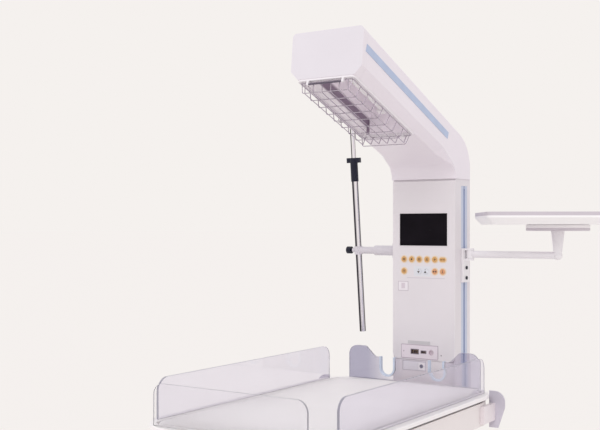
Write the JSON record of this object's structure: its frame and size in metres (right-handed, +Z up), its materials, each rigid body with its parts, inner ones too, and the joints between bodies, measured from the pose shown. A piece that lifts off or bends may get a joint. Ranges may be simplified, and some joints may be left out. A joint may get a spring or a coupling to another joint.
{
  "type": "infant incubator",
  "caption": "Open-care infant warmer: wheeled base, slim column with a heated hood, tilting bed with clear panels, drip pole and swivel tray.",
  "frame": {"origin": "on the floor under the middle of the whole object's bounding box", "axes": "+Z up, -Y towards the foot of the bed and the attendant, +X towards the side with the swivel tray"},
  "size_m": [0.8794, 1.1985, 1.882],
  "materials": {
    "painted_white": "satin",
    "moulded_white": "satin",
    "moulded_cream": "satin",
    "blue_trim": "satin",
    "dark_glass": "gloss",
    "socket_grey": "matte",
    "key_orange": "satin",
    "key_arrow": "satin",
    "polished_reflector": "polished",
    "heater_quartz": "gloss",
    "chrome_wire": "polished",
    "chrome_tube": "polished",
    "black_plastic": "satin",
    "lock_metal": "brushed",
    "mattress_cover": "smooth coated cloth",
    "clear_acrylic": "clear",
    "grommet_blue": "satin",
    "grip_grey": "satin",
    "tray_metal": "satin",
    "fork_metal": "zinc plated",
    "wheel_rubber": "matte",
    "pedal_plastic": "matte"
  },
  "bodies": {
    "stand": {"hood_shell": "painted_white", "hood_front_cap": "painted_white", "column_body": "painted_white", "base_frame": "painted_white", "bed_support": "painted_white", "iv_bracket": "painted_white", "tray_bracket": "painted_white", "front_bezel": "moulded_white", "column_rear_cover": "moulded_white", "base_cover": "moulded_white", "heater_frame": "moulded_white", "connector_plate": "moulded_white", "bed_base": "moulded_cream", "column_rails": "blue_trim", "hood_stripes": "blue_trim", "display_glass": "dark_glass", "probe_sockets": "socket_grey", "reflector": "polished_reflector", "heater_element": "heater_quartz", "bracket_screws": "black_plastic", "rear_grips": "grip_grey"},
    "service_door": {"service_door": "moulded_white"},
    "door_lock": {"door_lock": "lock_metal"},
    "wire_guard": {"wire_guard": "chrome_wire"},
    "deck": {"bed_deck": "moulded_white", "mattress": "mattress_cover"},
    "side_panel_left": {"side_panel_left": "clear_acrylic"},
    "side_panel_right": {"side_panel_right": "clear_acrylic"},
    "head_panel": {"head_panel": "clear_acrylic", "tube_grommets": "grommet_blue"},
    "foot_panel": {"foot_panel": "clear_acrylic"},
    "xray_tray": {"xray_tray": "tray_metal"},
    "iv_knob": {"iv_knob": "black_plastic"},
    "iv_pole": {"iv_pole": "chrome_tube"},
    "iv_rod": {"iv_rod": "chrome_tube"},
    "iv_collar": {"iv_collar": "black_plastic"},
    "tray_arm": {"tray_arm": "painted_white"},
    "tray": {"tray_disc": "moulded_white", "tray": "moulded_white"},
    "key_mode": {"key_mode": "key_orange"},
    "key_set": {"key_set": "key_orange"},
    "key_heater": {"key_heater": "key_orange"},
    "key_skin": {"key_skin": "key_orange"},
    "key_timer": {"key_timer": "key_orange"},
    "key_lamp": {"key_lamp": "key_orange"},
    "key_alarm": {"key_alarm": "key_orange"},
    "key_power": {"key_power": "key_orange"},
    "key_start": {"key_start": "key_orange"},
    "key_down": {"key_down": "key_arrow"},
    "key_up": {"key_up": "key_arrow"},
    "fork_front_left": {"caster_fork_front_left": "fork_metal"},
    "wheel_front_left": {"caster_wheel_front_left": "wheel_rubber"},
    "pedal_front_left": {"brake_pedal_front_left": "pedal_plastic"},
    "fork_front_right": {"caster_fork_front_right": "fork_metal"},
    "wheel_front_right": {"caster_wheel_front_right": "wheel_rubber"},
    "pedal_front_right": {"brake_pedal_front_right": "pedal_plastic"},
    "fork_rear_left": {"caster_fork_rear_left": "fork_metal"},
    "wheel_rear_left": {"caster_wheel_rear_left": "wheel_rubber"},
    "fork_rear_right": {"caster_fork_rear_right": "fork_metal"},
    "wheel_rear_right": {"caster_wheel_rear_right": "wheel_rubber"}
  },
  "joints": [
    {"name": "foot_end_cassette_slide", "type": "slide", "parent": "stand", "child": "xray_tray", "axis": [0, -1, 0], "range_m": [0, 0.35]},
    {"name": "deck_tilt", "type": "hinge", "parent": "stand", "child": "deck", "pos_m": [-0.14, -0.5875, 0.948], "axis": [1, 0, 0], "range_deg": [0, 12]},
    {"name": "side_panel_left_lift", "type": "slide", "parent": "deck", "child": "side_panel_left", "axis": [0, 0, 1], "range_m": [0, 0.06]},
    {"name": "side_panel_right_lift", "type": "slide", "parent": "deck", "child": "side_panel_right", "axis": [0, 0, 1], "range_m": [0, 0.06]},
    {"name": "head_panel_lift", "type": "slide", "parent": "deck", "child": "head_panel", "axis": [0, 0, 1], "range_m": [0, 0.06]},
    {"name": "foot_panel_lift", "type": "slide", "parent": "deck", "child": "foot_panel", "axis": [0, 0, 1], "range_m": [0, 0.06]},
    {"name": "guard_swing", "type": "hinge", "parent": "stand", "child": "wire_guard", "pos_m": [-0.14, 0.11495, 1.64339], "axis": [1, 0, 0], "range_deg": [0, 75]},
    {"name": "door_swing", "type": "hinge", "parent": "stand", "child": "service_door", "pos_m": [-0.2036, 0.3404, 0.99875], "axis": [0, 0, -1], "range_deg": [0, 60]},
    {"name": "lock_turn", "type": "hinge", "parent": "service_door", "child": "door_lock", "pos_m": [-0.1446, 0.339, 0.99875], "axis": [0, 1, 0], "range_deg": [0, 90]},
    {"name": "key_mode_press", "type": "slide", "parent": "stand", "child": "key_mode", "axis": [0, 1, 0], "range_m": [0, 0.0007], "stiffness_N_per_m": 900},
    {"name": "key_set_press", "type": "slide", "parent": "stand", "child": "key_set", "axis": [0, 1, 0], "range_m": [0, 0.0007], "stiffness_N_per_m": 900},
    {"name": "key_heater_press", "type": "slide", "parent": "stand", "child": "key_heater", "axis": [0, 1, 0], "range_m": [0, 0.0007], "stiffness_N_per_m": 900},
    {"name": "key_skin_press", "type": "slide", "parent": "stand", "child": "key_skin", "axis": [0, 1, 0], "range_m": [0, 0.0007], "stiffness_N_per_m": 900},
    {"name": "key_timer_press", "type": "slide", "parent": "stand", "child": "key_timer", "axis": [0, 1, 0], "range_m": [0, 0.0007], "stiffness_N_per_m": 900},
    {"name": "key_lamp_press", "type": "slide", "parent": "stand", "child": "key_lamp", "axis": [0, 1, 0], "range_m": [0, 0.0007], "stiffness_N_per_m": 900},
    {"name": "key_alarm_press", "type": "slide", "parent": "stand", "child": "key_alarm", "axis": [0, 1, 0], "range_m": [0, 0.0007], "stiffness_N_per_m": 900},
    {"name": "key_power_press", "type": "slide", "parent": "stand", "child": "key_power", "axis": [0, 1, 0], "range_m": [0, 0.0007], "stiffness_N_per_m": 900},
    {"name": "key_start_press", "type": "slide", "parent": "stand", "child": "key_start", "axis": [0, 1, 0], "range_m": [0, 0.0007], "stiffness_N_per_m": 900},
    {"name": "key_down_press", "type": "slide", "parent": "stand", "child": "key_down", "axis": [0, 1, 0], "range_m": [0, 0.0007], "stiffness_N_per_m": 900},
    {"name": "key_up_press", "type": "slide", "parent": "stand", "child": "key_up", "axis": [0, 1, 0], "range_m": [0, 0.0007], "stiffness_N_per_m": 900},
    {"name": "iv_knob_turn", "type": "hinge", "parent": "stand", "child": "iv_knob", "pos_m": [-0.392, 0.402, 1.33], "axis": [1, 0, 0], "continuous": true},
    {"name": "iv_pole_slide", "type": "slide", "parent": "stand", "child": "iv_pole", "axis": [0, -0.1045, 0.9945], "range_m": [-0.1, 0.1]},
    {"name": "iv_rod_slide", "type": "slide", "parent": "iv_pole", "child": "iv_rod", "axis": [0, -0.1045, 0.9945], "range_m": [0, 0.15]},
    {"name": "iv_collar_turn", "type": "hinge", "parent": "iv_pole", "child": "iv_collar", "pos_m": [-0.392, 0.402, 1.33], "axis": [0, -0.1045, 0.9945], "range_deg": [-90, 90]},
    {"name": "tray_arm_swing", "type": "hinge", "parent": "stand", "child": "tray_arm", "pos_m": [-0.0217, 0.402, 1.323], "axis": [0, 0, 1], "range_deg": [-45, 45]},
    {"name": "tray_turn", "type": "hinge", "parent": "tray_arm", "child": "tray", "pos_m": [0.235, 0.402, 1.4073], "axis": [0, 0, 1], "continuous": true},
    {"name": "caster_swivel_front_left", "type": "hinge", "parent": "stand", "child": "fork_front_left", "pos_m": [-0.41, -0.461, 0.1095], "axis": [0, 0, 1], "continuous": true},
    {"name": "wheel_spin_front_left", "type": "hinge", "parent": "fork_front_left", "child": "wheel_front_left", "pos_m": [-0.41, -0.493, 0.05], "axis": [1, 0, 0], "continuous": true},
    {"name": "brake_press_front_left", "type": "hinge", "parent": "fork_front_left", "child": "pedal_front_left", "pos_m": [-0.41, -0.52, 0.1058], "axis": [1, 0, 0], "range_deg": [0, 12]},
    {"name": "caster_swivel_front_right", "type": "hinge", "parent": "stand", "child": "fork_front_right", "pos_m": [0.13, -0.461, 0.1095], "axis": [0, 0, 1], "continuous": true},
    {"name": "wheel_spin_front_right", "type": "hinge", "parent": "fork_front_right", "child": "wheel_front_right", "pos_m": [0.13, -0.493, 0.05], "axis": [1, 0, 0], "continuous": true},
    {"name": "brake_press_front_right", "type": "hinge", "parent": "fork_front_right", "child": "pedal_front_right", "pos_m": [0.13, -0.52, 0.1058], "axis": [1, 0, 0], "range_deg": [0, 12]},
    {"name": "caster_swivel_rear_left", "type": "hinge", "parent": "stand", "child": "fork_rear_left", "pos_m": [-0.41, 0.394, 0.1095], "axis": [0, 0, 1], "continuous": true},
    {"name": "wheel_spin_rear_left", "type": "hinge", "parent": "fork_rear_left", "child": "wheel_rear_left", "pos_m": [-0.41, 0.362, 0.05], "axis": [1, 0, 0], "continuous": true},
    {"name": "caster_swivel_rear_right", "type": "hinge", "parent": "stand", "child": "fork_rear_right", "pos_m": [0.13, 0.394, 0.1095], "axis": [0, 0, 1], "continuous": true},
    {"name": "wheel_spin_rear_right", "type": "hinge", "parent": "fork_rear_right", "child": "wheel_rear_right", "pos_m": [0.13, 0.362, 0.05], "axis": [1, 0, 0], "continuous": true}
  ]
}
